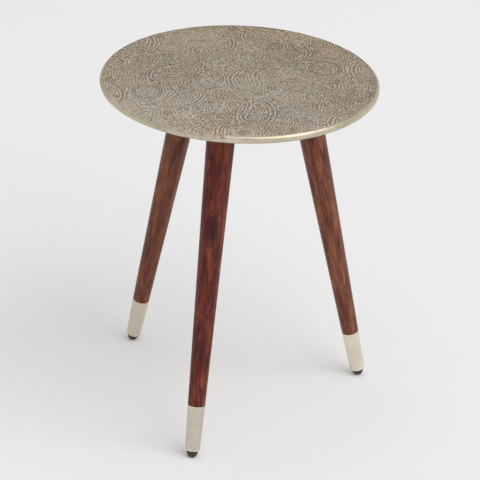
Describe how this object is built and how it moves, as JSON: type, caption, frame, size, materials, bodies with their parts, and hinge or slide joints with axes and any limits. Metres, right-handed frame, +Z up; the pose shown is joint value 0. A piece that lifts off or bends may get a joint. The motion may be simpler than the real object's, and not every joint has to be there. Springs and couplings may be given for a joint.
{
  "type": "occasional table",
  "caption": "Round side table with a flat embossed brass-clad top on splayed tapering wooden legs with metal tips and screw-adjusted feet.",
  "frame": {"origin": "on the floor, under the centre of the top", "axes": "+Z up through the centre of the top; -Y towards the front leg"},
  "size_m": [0.4, 0.4158, 0.51],
  "materials": {
    "embossed_brass": "embossed, antiqued, satin",
    "rim_brass": "pale, satin, lightly worn",
    "ferrule_brass": "pale, satin",
    "nail_brass": "satin",
    "insert_brass": "machined",
    "core_wood": "unfinished",
    "leg_wood": "satin lacquer",
    "plate_steel": "black, semi-matt",
    "plated_steel": "zinc plated",
    "pad_plastic": "matt"
  },
  "bodies": {
    "table": {"top_sheet": "embossed_brass", "rim_band": "rim_brass", "core_board": "core_wood", "hem_nails": "nail_brass", "front_leg": "leg_wood", "front_ferrule": "ferrule_brass", "front_hanger_bolt": "plated_steel", "front_foot_insert": "insert_brass", "front_leg_plate": "plate_steel", "front_plate_screws": "plated_steel", "right_leg": "leg_wood", "right_ferrule": "ferrule_brass", "right_hanger_bolt": "plated_steel", "right_foot_insert": "insert_brass", "right_leg_plate": "plate_steel", "right_plate_screws": "plated_steel", "left_leg": "leg_wood", "left_ferrule": "ferrule_brass", "left_hanger_bolt": "plated_steel", "left_foot_insert": "insert_brass", "left_leg_plate": "plate_steel", "left_plate_screws": "plated_steel"},
    "front_pad": {"front_foot_pad": "pad_plastic"},
    "front_screw": {"front_foot_screw": "plated_steel"},
    "right_pad": {"right_foot_pad": "pad_plastic"},
    "right_screw": {"right_foot_screw": "plated_steel"},
    "left_pad": {"left_foot_pad": "pad_plastic"},
    "left_screw": {"left_foot_screw": "plated_steel"}
  },
  "joints": [
    {"name": "front_foot_travel", "type": "slide", "parent": "table", "child": "front_pad", "axis": [0, -0.225, -0.9744], "range_m": [0, 0.01]},
    {"name": "front_foot_turn", "type": "hinge", "parent": "front_pad", "child": "front_screw", "pos_m": [0, -0.20518, 0.01221], "axis": [0, -0.225, -0.9744], "range_deg": [0, 3600]},
    {"name": "right_foot_travel", "type": "slide", "parent": "table", "child": "right_pad", "axis": [0.1948, 0.1125, -0.9744], "range_m": [0, 0.01]},
    {"name": "right_foot_turn", "type": "hinge", "parent": "right_pad", "child": "right_screw", "pos_m": [0.17769, 0.10259, 0.01221], "axis": [0.1948, 0.1125, -0.9744], "range_deg": [0, 3600]},
    {"name": "left_foot_travel", "type": "slide", "parent": "table", "child": "left_pad", "axis": [-0.1948, 0.1125, -0.9744], "range_m": [0, 0.01]},
    {"name": "left_foot_turn", "type": "hinge", "parent": "left_pad", "child": "left_screw", "pos_m": [-0.17769, 0.10259, 0.01221], "axis": [-0.1948, 0.1125, -0.9744], "range_deg": [0, 3600]}
  ],
  "couplings": [
    {"joint": "front_foot_turn", "follows": "front_foot_travel", "rad_per_m": 6283.2},
    {"joint": "right_foot_turn", "follows": "right_foot_travel", "rad_per_m": 6283.2},
    {"joint": "left_foot_turn", "follows": "left_foot_travel", "rad_per_m": 6283.2}
  ]
}
